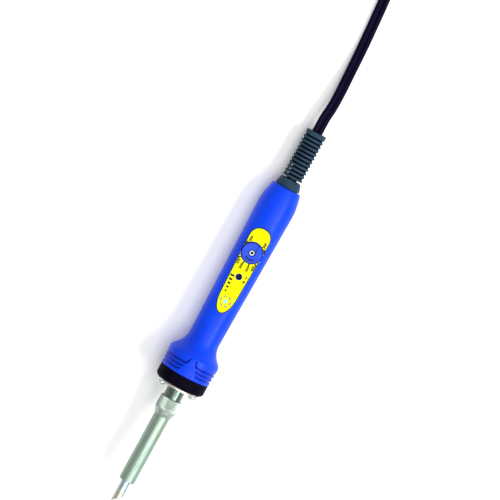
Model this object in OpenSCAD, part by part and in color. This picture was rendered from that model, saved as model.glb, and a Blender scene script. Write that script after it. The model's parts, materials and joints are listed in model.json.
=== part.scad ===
// Temperature-controlled soldering iron with a dial in the handle, lying on a bench.
// Millimetres. +X runs from the cord to the tip, +Z is up, and the bench is at z = 0.
// Inside place(), u is the distance along the iron's own axis from the handle's tail face,
// y is to its side, and z is towards the dial.

/* [Handle] */
// Radius of the handle at its tail face
tail_r = 9.3; // [8.8:0.1:9.6]
// Radius of the fullest part of the grip, near the tail
bulge_r = 11.6; // [11.4:0.1:12]
// Radius of the waist in front of the label
waist_r = 9.96; // [9.8:0.02:10.2]
// Radius of the guard's shoulder
shoulder_r = 16.4; // [16.2:0.1:16.8]
// Distance from the tail face to the guard's front edge
handle_l = 128; // [127.5:0.5:128.5]
// Thickness of the grip's wall
wall = 2.2; // [2:0.1:2.4]
// Height of the flat pad above the axis
pad_h = 8.6; // [8.5:0.05:8.7]

/* [Dial and label] */
// Distance from the tail face to the dial's centre
dial_u = 43.7; // [43:0.1:44.5]
// Diameter of the dial
dial_d = 13; // [12.5:0.1:13.2]
// Distance from the tail face to the adjusting hole
cal_u = 60.1; // [59.5:0.1:60.5]
// Diameter of the adjusting hole
cal_d = 3.6; // [3.2:0.1:3.8]
// Distance from the tail face to the indicator lens
lens_u = 76.9; // [76:0.1:77.5]
// Diameter of the indicator lens
lens_d = 2.5; // [2:0.1:2.8]

/* [Front end] */
// Radius of the black collar
collar_r = 15.85; // [15.7:0.05:16]
// Length of the black collar
collar_l = 8.1; // [8:0.1:8.4]
// Radius of the steel front plate
plate_r = 13.7; // [13.4:0.1:13.9]
// Radius of the threaded neck
neck_r = 5.65; // [5.6:0.01:5.7]
// Radius of the circle that the three flange screws stand on
screw_circle_r = 12; // [11.6:0.1:12]
// Diameter of a flange screw's head
screw_head_d = 5; // [4.6:0.1:5.2]

/* [Barrel and tip] */
// Outer radius of the barrel pipe
pipe_r = 5.04; // [5.02:0.01:5.06]
// Distance from the tail face to the pipe's front end
pipe_end = 202.2; // [201:0.1:203]
// Outer radius of the knurled nut
nut_r = 6.87; // [6.8:0.01:7.1]
// Diameter of the tip
tip_d = 6; // [5.6:0.1:6.2]
// Distance from the tail face to the tip's point
tip_end = 217.9; // [217:0.1:219]
// Angle that the tip's bevel makes with its axis
bevel_angle = 45; // [40:1:50]
// Turn of the bevel away from the side, towards the dial
bevel_roll = 25; // [15:1:35]

/* [Cord] */
// Width of the flat twin cord
cord_w = 6.7; // [6.5:0.1:6.8]
// Thickness of the flat twin cord
cord_t = 3.4; // [3.2:0.1:3.5]
// Radius of the strain relief's rings
relief_r = 6.4; // [6:0.1:6.6]
// Turns of cord in the hank
hank_turns = 4; // [3:1:4]

/* [Hidden] */
$fn = 64;
eps = 0.5; // how far a cutter runs past a face

// The handle's outline: a rounded tail, a straight taper to the waist, a flare and a shoulder
bulge_u = 14.4;
flare_u = 103;
flare_r = 13.8;
shoulder_u = 117;
flare_drop = waist_r + flare_r - shoulder_r;
shoulder_arc_r = (pow(shoulder_u - flare_u, 2) + flare_drop * flare_drop - flare_r * flare_r)
    / (2 * (flare_r - flare_drop));
flare_angle = atan2(flare_drop + shoulder_arc_r, shoulder_u - flare_u);
guard_end_r = 15.95;
handle_outline = concat(
    [for (i = [0:8]) let (u = bulge_u * i / 8) [u, grip_r(u)]],
    arc(flare_u, waist_r + flare_r, flare_r, 270, 360 - flare_angle, 12),
    arc(shoulder_u, shoulder_r - shoulder_arc_r, shoulder_arc_r, 174 - flare_angle, 90, 8),
    [[120, shoulder_r - 0.1], [handle_l - 0.4, guard_end_r], [handle_l, guard_end_r - 0.4]]
);

// How the iron lies: on the grip's bulge and on the guard's shoulder
tilt = atan((shoulder_r - bulge_r) / (shoulder_u - bulge_u));
rest_h = max([for (p = handle_outline) p[1] * cos(tilt) - p[0] * sin(tilt)]);

// The flat pad runs between two ramps
pad_from = 35;
pad_to = 73;
tail_ramp_r = 13.2;
front_ramp_r = 42.6;
pad_under = pad_h - wall;

// The guard's grooves stop at a smooth tongue on the dial's side
groove_at = [120.2, 122.8, 125.4];
groove_r = 0.75;

// The dial stands in a recess, with the potentiometer's shaft coming up through its floor
recess_gap = 0.4;
recess_floor = pad_h - 0.9;
dial_low = recess_floor + 0.3;
dial_top = dial_low + 2.2;
hub_low = recess_floor - 0.7;
shaft_r = 2;
shaft_shoulder = dial_low + 0.4;
spigot_r = 1.2;
screw_seat = shaft_shoulder + 0.6;
screw_low = 6;
pointer_half = 38; // half the angle that the dial's curved pointer groove spans

// The circuit board
board_from = 31;
board_to = 97;
board_low = -1;
board_top = 0.6;
board_w = 13.6;

// The front end, from the handle to the pipe
collar_end = handle_l + collar_l;
gasket_t = 0.3;
plate_from = collar_end + gasket_t;
plate_to = plate_from + 1.2;
neck_bore_r = 4.6;
neck_to = plate_to + 10.1;
screw_angles = [30, 150, 270];
heater_r = 1.9;
heater_to = 192;
nut_from = plate_to + 7.2;
nut_shoulder = neck_to + 1.4;
nut_to = nut_from + 12;
pipe_flange_r = 5.6;
nut_seat_r = pipe_r - 0.19; // the pipe is a little slimmer where the nut turns on it
nut_bore_r = pipe_r + 0.11;
tip_r = tip_d / 2;
tip_from = 150;

// The strain relief's rings
relief_from = -37.8;
ring_t = 1.45;
ring_pitch = 2.56;
ring_count = 11;
end_ring_t = 2.9;
relief_hole = 0.1;

// The iron is centred on x = 0 between the relief's end ring and the tip's point
shift_x = -((relief_from + tip_end) * cos(tilt) - relief_r * sin(tilt)) / 2;

// The cord lies on the bench in a loose line, and its unseen length is folded into a hank
route_first = [
    on_bench(relief_from, 0),
    on_bench(relief_from - 10, 0),
    [-145, 0.7, 7.9], [-153, 0.8, 6.7], [-161, 0.6, 5.3], [-169, 0.3, 3.9], [-177, 0, 2.8],
    [-185, -0.4, 2.1], [-193, -0.9, 1.8], [-201, -1.5, 1.8], [-209, -2.1, 1.8], [-217, -2.8, 1.8],
    [-225, -3.7, 1.9], [-233, -5, 2.1], [-241, -6.8, 2.4], [-249, -8.6, 2.6], [-257, -9.8, 2.65],
    [-262, -10, 2.65]
];
route_last = [
    [-345, -10, 17], [-353, -9.4, 16.8], [-361, -7.8, 15.6], [-369, -5.8, 13.6],
    [-377, -3.8, 11.4], [-385, -2.4, 9.5], [-391, -2, 8.6]
];
hank_near = -258; // centre of the hank's nearer end loop
hank_far = -345;
hank_y = 10;
hank_loop_r = 20;
hank_low = 0.9;
hank_layer = 3.6;
tie_t = 0.9;
tie_w = 12;
tie_x = -301;
plug_x = -391;
plug_y = -2;
plug_z = 8.6;

function on_bench(u, z) = [
    shift_x + u * cos(tilt) - z * sin(tilt), 0, rest_h + u * sin(tilt) + z * cos(tilt)
];
function arc(x, y, r, from, to, steps) = [
    for (i = [0:steps]) let (a = from + (to - from) * i / steps) [x + r * cos(a), y + r * sin(a)]
];
function grip_r(u) = u < bulge_u
    ? tail_r + (bulge_r - tail_r) * sin(90 * u / bulge_u)
    : bulge_r - (bulge_r - waist_r) * (u - bulge_u) / (flare_u - bulge_u);
function guard_r(u) = shoulder_r - 0.1 - (shoulder_r - 0.1 - guard_end_r) * (u - 120) / (handle_l - 120.4);
function pad_z(u) = u < pad_from
    ? pad_h + tail_ramp_r - sqrt(pow(tail_ramp_r, 2) - pow(pad_from - u, 2))
    : u > pad_to ? pad_h + front_ramp_r - sqrt(pow(front_ramp_r, 2) - pow(u - pad_to, 2)) : pad_h;

function pad_half(u) = sqrt(max(0, pow(grip_r(u), 2) - pow(pad_z(u), 2)));

module place() {
    translate([shift_x, 0, rest_h]) rotate([0, -tilt, 0]) children();
}

module along(u, y = 0, z = 0) {
    translate([u, y, z]) rotate([0, 90, 0]) children();
}

module rod(from, to, r, y = 0, z = 0) {
    along(from, y, z) cylinder(h = to - from, r = r);
}

module post(u, from, to, r, y = 0) {
    translate([u, y, from]) cylinder(h = to - from, r = r);
}

module block(u, y, z) {
    translate([u[0], y[0], z[0]]) cube([u[1] - u[0], y[1] - y[0], z[1] - z[0]]);
}

module turned(outline) {
    rotate([0, 90, 0]) rotate_extrude() polygon([for (p = outline) [p[1], p[0]]]);
}

module round_the_axis(angles) {
    for (a = angles) rotate([a - 90, 0, 0]) children();
}

// ---- Cord end ----

module flat_section(w, t) {
    square([t, w - t], center = true);
    for (side = [-1, 1]) translate([0, side * (w - t) / 2]) circle(d = t);
}

module cord_prism(from, to, more = 0) {
    along(from) linear_extrude(height = to - from) flat_section(cord_w + more, cord_t + more);
}

module strain_relief() {
    first_ring = relief_from + end_ring_t + ring_pitch - ring_t;
    last_ring = first_ring + (ring_count - 1) * ring_pitch + ring_t;
    cone_from = last_ring + ring_pitch - ring_t;
    color("darkslategray") place() difference() {
        union() {
            rod(relief_from, relief_from + end_ring_t, relief_r);
            for (i = [0:ring_count - 1])
                rod(first_ring + i * ring_pitch, first_ring + i * ring_pitch + ring_t, relief_r);
            for (i = [0:ring_count])
                relief_webs(first_ring - ring_pitch + ring_t + i * ring_pitch, i);
            turned([[cone_from, 0], [cone_from, relief_r], [-0.6, 8.1], [-0.6, 7], [0, 7], [0, 5.5],
                [3, 5.5], [3, 6.4], [4.6, 5.6], [4.6, 0]]);
        }
        cord_prism(relief_from - eps, 4.6 + eps, relief_hole);
    }
}

// Webs join the rings at the sides, and the last ring to the cone above and below.
// In the last few gaps one side's web stands clear of the cord.
module relief_webs(from, gap) {
    web_w = 2.6;
    open_to = 4.7;
    along(from) linear_extrude(height = ring_pitch - ring_t) difference() {
        intersection() {
            circle(r = relief_r - 0.8);
            rotate([0, 0, gap == ring_count ? 0 : 90]) square([2 * relief_r, web_w], center = true);
        }
        if (gap > ring_count - 4 && gap < ring_count) translate([-3, -open_to]) square([6, open_to]);
    }
}

module cord_entry() {
    color("black") place() cord_prism(relief_from, 18);
}

module cord_clamp() {
    color("ivory") place() difference() {
        block([9.5, 15.5], [-7, 7], [cord_t / 2, 4.2]);
        for (side = [-1, 1]) post(12.5, 0, 5, 1.1, side * 5.6);
    }
}

module clamp_screws() {
    color("silver") place() for (side = [-1, 1]) {
        post(12.5, -4, 4.2, 1.1, side * 5.6);
        difference() {
            post(12.5, 4.2, 5.4, 2, side * 5.6);
            block([10, 15], [side * 5.6 - 0.3, side * 5.6 + 0.3], [4.8, 6]);
        }
    }
}

module supply_wires() {
    color("saddlebrown") place() for (side = [-1, 1])
        rod(18, board_from + 3, 0.8, side * (cord_w - cord_t) / 2, 0);
}

// ---- Handle ----

module handle_body() {
    turned(concat([[0, 0]], handle_outline, [[handle_l, 0]]));
}

module handle_cavity() {
    bore_r = 9.3;
    difference() {
        turned([[3, 0], [3, grip_r(3) - wall], [7, grip_r(7) - wall], [bulge_u, bulge_r - wall],
            [flare_u, waist_r - wall], [108, bore_r], [handle_l + eps, bore_r], [handle_l + eps, 0]]);
        block([24, 91], [-15, 15], [pad_under, 15]);
    }
}

module pad_cutter() {
    outline = concat(
        arc(pad_from, pad_h + tail_ramp_r, tail_ramp_r, 225, 270, 8),
        arc(pad_to, pad_h + front_ramp_r, front_ramp_r, 270, 288, 8),
        [[90, 20], [25, 20]]
    );
    rotate([90, 0, 0]) linear_extrude(height = 40, center = true) polygon(outline);
}

module tongue() {
    linear_extrude(height = 20)
        polygon([[118.4, -1.8], [118.4, 1.8], [handle_l + 1, 6], [handle_l + 1, -6]]);
}

module guard_grooves() {
    difference() {
        rotate([0, 90, 0]) for (u = groove_at) rotate_extrude()
            translate([guard_r(u) + 0.3, u]) circle(r = groove_r, $fn = 24);
        tongue();
    }
    // Two short notches mark the tongue's head
    for (side = [-1, 1]) translate([117.6, side * 1.9, 16.4]) rotate([0, 90, side * 14])
        cylinder(h = 4, r = 0.5, $fn = 24);
}

module handle_shell() {
    color("royalblue") place() difference() {
        handle_body();
        handle_cavity();
        pad_cutter();
        guard_grooves();
        rod(-eps, 3 + eps, 5.6);
        post(dial_u, recess_floor, 15, dial_d / 2 + recess_gap);
        post(dial_u, pad_under - eps, recess_floor + eps, 3);
        post(cal_u, pad_under - eps, 12, cal_d / 2);
        post(lens_u, pad_under - eps, 12, lens_d / 2 + 0.05);
        round_the_axis(screw_angles) rod(119.4, handle_l + eps, 2.1, 0, screw_circle_r);
    }
}

module threaded_inserts() {
    color("goldenrod") place() round_the_axis(screw_angles) difference() {
        rod(119.5, handle_l - 0.2, 2.05, 0, screw_circle_r);
        rod(119, handle_l, 1.5, 0, screw_circle_r);
    }
}

module dial_label() {
    label_t = 0.3;
    glue_t = 0.03;
    margin = 0.35;
    steps = 36;
    first = 27.27;
    last = 84.5;
    edge = concat([[first, 0]], [for (i = [1:steps - 1])
        let (u = first - margin + (last - first + 2 * margin) * (1 - cos(180 * i / steps)) / 2,
            slope = (pad_half(u + 0.02) - pad_half(u - 0.02)) / 0.04, long = sqrt(1 + slope * slope))
        [u + margin * slope / long, pad_half(u) - margin / long]], [[last, 0]]);
    face = [for (i = [0:steps]) let (u = first - 1 + (last - first + 2) * i / steps)
        [u, pad_z(u) + glue_t]];
    color("gold") place() difference() {
        intersection() {
            linear_extrude(height = 20) polygon(concat(
                edge, [for (i = [steps:-1:0]) [edge[i][0], -edge[i][1]]]
            ));
            rotate([90, 0, 0]) linear_extrude(height = 20, center = true) polygon(concat(
                face, [for (i = [steps:-1:0]) [face[i][0], face[i][1] + label_t]]
            ));
        }
        post(dial_u, 8, 15, dial_d / 2 + recess_gap);
        post(cal_u, 8, 12, cal_d / 2 + 0.3);
        post(lens_u, 8, 12, lens_d / 2 + 0.05);
    }
}

// ---- Dial and electronics ----

module dial_knob() {
    rim_ribs = 60;
    color("mediumblue") place() translate([dial_u, 0, 0]) difference() {
        union() {
            rotate_extrude() polygon([[0, dial_low], [dial_d / 2, dial_low], [dial_d / 2, dial_top - 0.6],
                [dial_d / 2 - 0.6, dial_top], [0, dial_top]]);
            translate([0, 0, hub_low]) cylinder(h = dial_low - hub_low + eps, r = 2.6);
        }
        translate([0, 0, hub_low - eps]) cylinder(h = shaft_shoulder - hub_low + eps, r = shaft_r);
        translate([0, 0, shaft_shoulder - eps]) cylinder(h = 2, r = spigot_r);
        translate([0, 0, screw_seat]) cylinder(h = 2, r = 2.15);
        translate([-7, 1.6, dial_top - 0.5]) cube([6.5, 0.45, 2]);
        translate([0, 0, dial_top - 0.4]) linear_extrude(height = 2) polygon(concat(
            arc(0, 0, 4.9, -pointer_half, pointer_half, 8), arc(0, 0, 3.6, pointer_half, -pointer_half, 8)
        ));
        for (i = [0:rim_ribs - 1]) rotate([0, 0, 360 * i / rim_ribs])
            translate([dial_d / 2 - 0.2, 0, dial_low + 0.6]) rotate([0, 0, -45]) cube([0.4, 0.4, 3]);
    }
}

module knob_screw() {
    color("silver") place() translate([dial_u, 0, 0]) difference() {
        union() {
            translate([0, 0, screw_low]) cylinder(h = screw_seat - screw_low, r = 0.8);
            translate([0, 0, screw_seat]) cylinder(h = 0.9, r = 1.65);
        }
        for (turn = [0, 90]) rotate([0, 0, turn + 20])
            translate([-1, -0.2, screw_seat + 0.45]) cube([2, 0.4, 1]);
    }
}

module pot_shaft() {
    color("darkgray") place() translate([dial_u, 0, 0]) difference() {
        union() {
            translate([0, 0, 1.5]) cylinder(h = shaft_shoulder - 1.5, r = shaft_r);
            translate([0, 0, shaft_shoulder])
                cylinder(h = screw_seat - shaft_shoulder - 0.05, r = spigot_r);
        }
        translate([0, 0, screw_low]) cylinder(h = 4, r = 0.8);
    }
}

module pot_body() {
    half = 4.8;
    color("dimgray") place() difference() {
        union() {
            block([dial_u - half, dial_u + half], [-half, half], [board_top, 5.4]);
            post(dial_u, 5, pad_under - 0.1, 3);
        }
        post(dial_u, 1.4, 7, shaft_r + 0.05);
    }
}

module circuit_board() {
    color("darkgreen") place() difference() {
        block([board_from, board_to], [-board_w / 2, board_w / 2], [board_low, board_top]);
        for (side = [-1, 1]) {
            wire_y = side * (cord_w - cord_t) / 2;
            rod(board_from - eps, board_from + 3, 0.8, wire_y, 0);
            block([board_from - eps, board_from + 3], [wire_y - 0.8, wire_y + 0.8], [0, 1]);
        }
        for (y = lead_places()) {
            rod(board_to - 3, board_to + eps, 0.5, y, 0);
            block([board_to - 3, board_to + eps], [y - 0.5, y + 0.5], [0, 1]);
        }
    }
}

function lead_places() = [-4.5, -1.5, 1.5, 4.5];

module board_carrier() {
    color("gainsboro") place() {
        difference() {
            rod(28, 98.5, 7.6);
            rod(29.5, 97, 6.3);
            block([27, 99], [-8, 8], [board_low, 9]);
            block([27, 30], [-3, 3], [-6, 9]);
        }
        // The tail end carries the lower half of the cord clamp
        difference() {
            block([9.5, 15.5], [-7, 7], [-5.2, -cord_t / 2]);
            for (side = [-1, 1]) post(12.5, -4, 0, 1.1, side * 5.6);
        }
        for (side = [-1, 1]) translate([0, side * 5.8, 0]) block([15.5, 28], [-1.2, 1.2], [-5.2, -2]);
    }
}

module control_ic() {
    color("black") place() block([49.5, 55.5], [-4.8, 4.8], [board_top + 0.5, 4]);
    color("silver") place() for (row = [49.9, 54.9], i = [0:3])
        block([row - 0.2, row + 0.4], [-4.1 + i * 2.54, -3.6 + i * 2.54], [board_top, board_top + 0.5]);
}

module trimmer_body() {
    color("steelblue") place() difference() {
        block([cal_u - 3.3, cal_u + 3.3], [-3.3, 3.3], [board_top, 4.4]);
        post(cal_u, 3.2, 5, 1.85);
    }
}

module trimmer_rotor() {
    color("midnightblue") place() difference() {
        post(cal_u, 3.3, 5, 1.8);
        block([cal_u - 0.3, cal_u + 0.3], [-1.4, 1.4], [4.2, 6]);
    }
}

module led_lamp() {
    color("palegreen") place() {
        post(lens_u, board_top, board_top + 1, 1.8);
        post(lens_u, board_top + 1, 4.2, 1.5);
        translate([lens_u, 0, 4.2]) sphere(r = 1.5);
    }
}

module indicator_lens() {
    color("lightcyan") place() {
        post(lens_u, 5.9, pad_under, lens_d / 2 + 0.6);
        post(lens_u, pad_under, pad_h + 0.25, lens_d / 2);
    }
}

module triac() {
    color("black") place() block([83, 92], [-5, 5], [board_top, 5]);
    color("silver") place() difference() {
        block([79.6, 83], [-5, 5], [board_top, 1.9]);
        post(81.2, 0, 3, 1.2);
    }
}

module film_capacitor() {
    color("crimson") place() block([62, 75], [-3.5, 3.5], [-5, board_low]);
}

module filter_capacitor() {
    color("midnightblue") place() rod(64.6, 73.8, 2.3, -3.4, board_top + 2.3);
}

module resistors() {
    color("tan") place() for (y = [1.6, 4.3]) {
        rod(66, 72, 1, y, board_top + 1);
        rod(64.4, 66, 0.3, y, board_top + 1);
        rod(72, 73.6, 0.3, y, board_top + 1);
    }
}

module surge_limiter() {
    color("dodgerblue") place() translate([34.5, 0, board_top + 2.9]) rotate([0, 90, 0])
        cylinder(h = 2.6, r = 2.9);
}

// ---- Heater and front end ----

module lead_wires() {
    color("silver") place() for (y = lead_places()) rod(board_to - 3, 117, 0.5, y, 0);
}

module lead_sleeves() {
    color("white") place() for (y = lead_places()) difference() {
        rod(99.5, 115.5, 0.95, y, 0);
        rod(99, 116, 0.55, y, 0);
    }
}

module terminal_block() {
    color("whitesmoke") place() difference() {
        rod(117, 124, 7);
        for (y = lead_places()) post(120.5, 0, 8, 1, y);
        round_the_axis([45, 135, 225, 315]) rod(122, 125, 0.4, 0, 1.2);
    }
}

module terminal_screws() {
    color("goldenrod") place() for (y = lead_places()) difference() {
        post(120.5, 0, sqrt(49 - pow(abs(y) + 1, 2)), 0.95, y);
        block([119, 122], [y - 0.2, y + 0.2], [sqrt(49 - pow(abs(y) + 1, 2)) - 0.5, 9]);
    }
}

module heater_leads() {
    color("silver") place() round_the_axis([45, 135, 225, 315]) rod(122, 127, 0.4, 0, 1.2);
}

module heater_flange() {
    color("ivory") place() turned([[128.5, heater_r], [128.5, 5.4], [133, 5.4], [133, 7.4],
        [plate_from - 1.2, 7.4], [plate_from - 1.2, 4.4], [139, 4.4], [139, heater_r]]);
}

module heater_core() {
    color("antiquewhite") place() turned([[127, 0], [127, heater_r], [heater_to - 0.5, heater_r],
        [heater_to, heater_r - 0.5], [heater_to, 0]]);
}

module collar() {
    corner_r = 2.5;
    color("black") place() difference() {
        turned(concat(
            [[125.5, 0], [125.5, 9.2], [handle_l, 9.2], [handle_l, collar_r]],
            arc(collar_end - corner_r, collar_r - corner_r, corner_r, 90, 0, 8),
            [[collar_end, 0]]
        ));
        rod(125, 129, 7.6);
        rod(128, collar_end + eps, 5.6);
        rod(133, collar_end + eps, 7.6);
        round_the_axis(screw_angles) rod(127, collar_end + eps, 1.6, 0, screw_circle_r);
    }
}

module heat_gasket() {
    color("tan") place() difference() {
        rod(collar_end, plate_from, 13.2);
        rod(collar_end - 1, plate_from + 1, 7.6);
        round_the_axis(screw_angles) rod(collar_end - 1, plate_from + 1, 1.6, 0, screw_circle_r);
    }
}

module front_plate() {
    color("lightgray") place() difference() {
        rod(plate_from, plate_to, plate_r);
        rod(plate_from - 1, plate_to + 1, neck_r);
        round_the_axis(screw_angles) rod(plate_from - 1, plate_to + 1, 1.6, 0, screw_circle_r);
    }
}

module threaded_neck() {
    color("silver") place() turned([[plate_from - 1.2, neck_bore_r], [plate_from - 1.2, 7.5],
        [plate_from, 7.5], [plate_from, neck_r], [neck_to, neck_r], [neck_to, neck_bore_r]]);
}

module flange_screws() {
    head_r = screw_head_d / 2;
    color("silver") place() round_the_axis(screw_angles) translate([0, 0, screw_circle_r]) difference() {
        turned([[120.5, 0], [120.5, 1.5], [plate_to, 1.5], [plate_to, head_r], [plate_to + 0.8, head_r],
            [plate_to + 1.4, head_r - 0.6], [plate_to + 1.7, head_r - 1.5], [plate_to + 1.75, 0]]);
        for (turn = [0, 90]) rotate([turn, 0, 0])
            block([plate_to + 0.9, plate_to + 3], [-0.3, 0.3], [-1.3, 1.3]);
    }
}

// ---- Barrel, nut and tip ----

module union_nut() {
    knurls = 48;
    knurl_to = nut_from + 8;
    color("silver") place() difference() {
        turned([[nut_from, 5.95], [nut_from, nut_r - 0.3], [nut_from + 0.3, nut_r], [knurl_to, nut_r],
            [nut_to, pipe_r + 0.35], [nut_to, nut_bore_r], [nut_shoulder, nut_bore_r],
            [nut_shoulder, 5.95]]);
        for (i = [0:knurls - 1]) rotate([360 * i / knurls, 0, 0])
            translate([nut_from - 1, 0, nut_r - 0.22])
                rotate([45, 0, 0]) cube([knurl_to - nut_from + 0.6, 0.4, 0.4]);
    }
}

module barrel_pipe() {
    pipe_bore_r = pipe_r - 0.5;
    color("lightgray") place() turned([[neck_to + 0.1, pipe_bore_r], [neck_to + 0.1, pipe_flange_r],
        [nut_shoulder - 0.1, pipe_flange_r], [nut_shoulder - 0.1, nut_seat_r], [nut_to + 0.2, nut_seat_r],
        [nut_to + 0.2, pipe_r], [pipe_end - 0.3, pipe_r], [pipe_end, pipe_r - 0.3],
        [pipe_end, tip_r + 0.35], [pipe_end - 0.9, tip_r + 0.35], [pipe_end - 0.9, pipe_bore_r]]);
}

module tip() {
    shoulder_from = pipe_end - 2.7;
    color("silver") place() difference() {
        turned([[tip_from, heater_r + 0.1], [tip_from, 3.7], [shoulder_from, 3.7], [shoulder_from, 4.2],
            [pipe_end - 1.1, 4.2], [pipe_end - 1.1, tip_r], [tip_end, tip_r], [tip_end, 0],
            [heater_to + 1.2, 0], [heater_to + 1.2, heater_r + 0.1]]);
        rotate([bevel_roll, 0, 0]) translate([tip_end, -tip_r, -10])
            rotate([0, 0, 90 - bevel_angle]) translate([0, -10, 0]) cube([20, 40, 20]);
    }
}

// ---- Free cord, hank and plug ----

function round_sign(x) = abs(x) < 0.01 ? 0 : sign(x);
function unit(v) = v / norm(v);
function way(route, i) = unit(route[min(i + 1, len(route) - 1)] - route[max(i - 1, 0)]);

// A flat section at each point of a route, level across and square to the way it runs
function section(p, t) = let (side = unit(cross(t, [0, 0, 1])), up = cross(side, t)) [
    for (k = [0:9]) let (a = 18 + 36 * k)
        p + side * (round_sign(cos(a)) * (cord_w - cord_t) / 2 + cos(a) * cord_t / 2)
            + up * sin(a) * cord_t / 2
];

module swept(route) {
    rings = len(route);
    points = [for (i = [0:rings - 1]) each section(route[i], way(route, i))];
    sides = [for (i = [0:rings - 2], k = [0:9]) let (a = i * 10 + k, b = i * 10 + (k + 1) % 10)
        [a, b, b + 10, a + 10]];
    ends = [[for (k = [9:-1:0]) k], [for (k = [0:9]) (rings - 1) * 10 + k]];
    polyhedron(points = points, faces = concat(sides, ends));
}

module cord_tube() {
    color("black") swept(route_first);
}

module cord_end() {
    color("black") swept(route_last);
}

module hank_outline(more = 0) {
    half = hank_loop_r + cord_w / 2 + more;
    for (x = [hank_near, hank_far]) translate([x, hank_y]) circle(r = half);
    translate([hank_far, hank_y - half]) square([hank_near - hank_far, 2 * half]);
}

module cord_hank() {
    color("black") translate([0, 0, hank_low])
        linear_extrude(height = (hank_turns + 1) * hank_layer) hank_outline();
}

module cord_tie() {
    half = hank_loop_r + cord_w / 2 + 0.05;
    top = hank_low + (hank_turns + 1) * hank_layer + 0.05;
    color("dimgray") translate([tie_x - tie_w / 2, hank_y, 0]) difference() {
        translate([0, -half - tie_t, 0]) cube([tie_w, 2 * (half + tie_t), top + tie_t]);
        translate([-1, -half, tie_t - 0.05]) cube([tie_w + 2, 2 * half, top - tie_t + 0.05]);
    }
}

module plug_body() {
    boot_l = 16;
    body_l = 27;
    color("black") translate([plug_x, plug_y, 0]) difference() {
        union() {
            translate([-boot_l, 0, plug_z]) rotate([0, 90, 0])
                cylinder(h = boot_l, r1 = 6, r2 = 4.6);
            linear_extrude(height = 2 * plug_z) polygon(concat(
                [[-boot_l, -6], [-boot_l, 6]],
                arc(-boot_l - 9, 9, 4, 60, 120, 4),
                [[-boot_l - body_l, 12.5], [-boot_l - body_l, -12.5]],
                arc(-boot_l - 9, -9, 4, 240, 300, 4)
            ));
        }
        translate([-boot_l - body_l - eps, 0, plug_z]) for (side = [-1, 1])
            translate([0, side * 6.35 - 0.75, -3.15]) cube([4.5, 1.5, 6.3]);
    }
}

module plug_blades() {
    blade_l = 17.5;
    color("gainsboro") for (side = [-1, 1]) difference() {
        translate([plug_x - 43 - blade_l, plug_y + side * 6.35 - 0.75, plug_z - 3.15])
            cube([blade_l + 4, 1.5, 6.3]);
        translate([plug_x - 43 - blade_l + 3.6, plug_y + side * 6.35, plug_z]) rotate([90, 0, 0])
            cylinder(h = 4, r = 1.6, center = true);
    }
}

strain_relief();
cord_entry();
cord_clamp();
clamp_screws();
supply_wires();
handle_shell();
threaded_inserts();
dial_label();
dial_knob();
knob_screw();
pot_shaft();
pot_body();
circuit_board();
board_carrier();
control_ic();
trimmer_body();
trimmer_rotor();
led_lamp();
indicator_lens();
triac();
film_capacitor();
filter_capacitor();
resistors();
surge_limiter();
lead_wires();
lead_sleeves();
terminal_block();
terminal_screws();
heater_leads();
heater_flange();
heater_core();
collar();
heat_gasket();
front_plate();
threaded_neck();
flange_screws();
union_nut();
barrel_pipe();
tip();
cord_tube();
cord_hank();
cord_tie();
cord_end();
plug_body();
plug_blades();
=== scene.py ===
import json
from math import atan2, copysign, cos, exp, pi, radians, sin, sqrt, tan, tau

import bmesh
import bpy
from mathutils import Matrix, Vector


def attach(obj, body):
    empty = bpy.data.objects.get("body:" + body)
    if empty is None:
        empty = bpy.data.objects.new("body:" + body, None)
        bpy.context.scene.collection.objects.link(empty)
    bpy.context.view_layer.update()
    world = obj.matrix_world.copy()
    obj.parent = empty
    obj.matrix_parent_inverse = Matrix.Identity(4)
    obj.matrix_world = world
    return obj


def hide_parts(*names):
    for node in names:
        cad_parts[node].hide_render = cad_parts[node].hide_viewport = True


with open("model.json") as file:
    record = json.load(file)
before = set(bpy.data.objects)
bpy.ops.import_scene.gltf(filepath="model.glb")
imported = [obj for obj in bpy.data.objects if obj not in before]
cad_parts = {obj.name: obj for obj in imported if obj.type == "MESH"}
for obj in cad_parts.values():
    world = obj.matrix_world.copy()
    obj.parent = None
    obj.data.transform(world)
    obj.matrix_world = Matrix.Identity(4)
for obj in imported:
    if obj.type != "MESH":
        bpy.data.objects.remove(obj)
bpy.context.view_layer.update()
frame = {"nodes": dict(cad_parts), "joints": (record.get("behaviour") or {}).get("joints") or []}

# A temperature-controlled soldering iron on a pale bench, seen from above.
# Sizes are millimetres. u runs along the iron from the handle's tail face to the tip, y to its side
# and z towards the dial. A point is turned into the row frame's metres when its mesh is made.

MM = 0.001
JOINTS = {joint["name"]: joint for joint in frame["joints"]}

# The handle
TAIL_R = 9.3
BULGE_R = 11.6
WAIST_R = 9.96
SHOULDER_R = 16.4
GUARD_END_R = 15.95
BULGE_U = 14.4
FLARE_U = 103
FLARE_R = 13.8
SHOULDER_U = 117
GUARD_U = 120
HANDLE_L = 128
WALL = 2.2
PAD_H = 8.6
PAD_FROM = 35
PAD_TO = 73
TAIL_RAMP_R = 13.2
FRONT_RAMP_R = 42.6
GROOVES = (120.2, 122.8, 125.4)
GUARD_TAPER = 0.047
SCREW_CIRCLE_R = 12
SCREW_ANGLES = (-60, 60, 180)

# The dial and the label
DIAL_U = 43.7
DIAL_Z = 8.6
DIAL_D = 13
RECESS_R = DIAL_D / 2 + 0.4
RECESS_FLOOR = PAD_H - 0.9
DIAL_TOP = RECESS_FLOOR + 2.5
SCREW_SEAT = RECESS_FLOOR + 1.3
ADJUST_U = 60.1
ADJUST_R = 1.8
LENS_U = 76.9
LENS_R = 1.25
LABEL_T = 0.3
LABEL_MARGIN = 0.35
LAYER_T = 0.06
DIGITS_LONG = 3.6
DIGITS_HIGH = 1.7
LABEL_FROM = 27.27
LABEL_TO = 84.5

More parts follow.
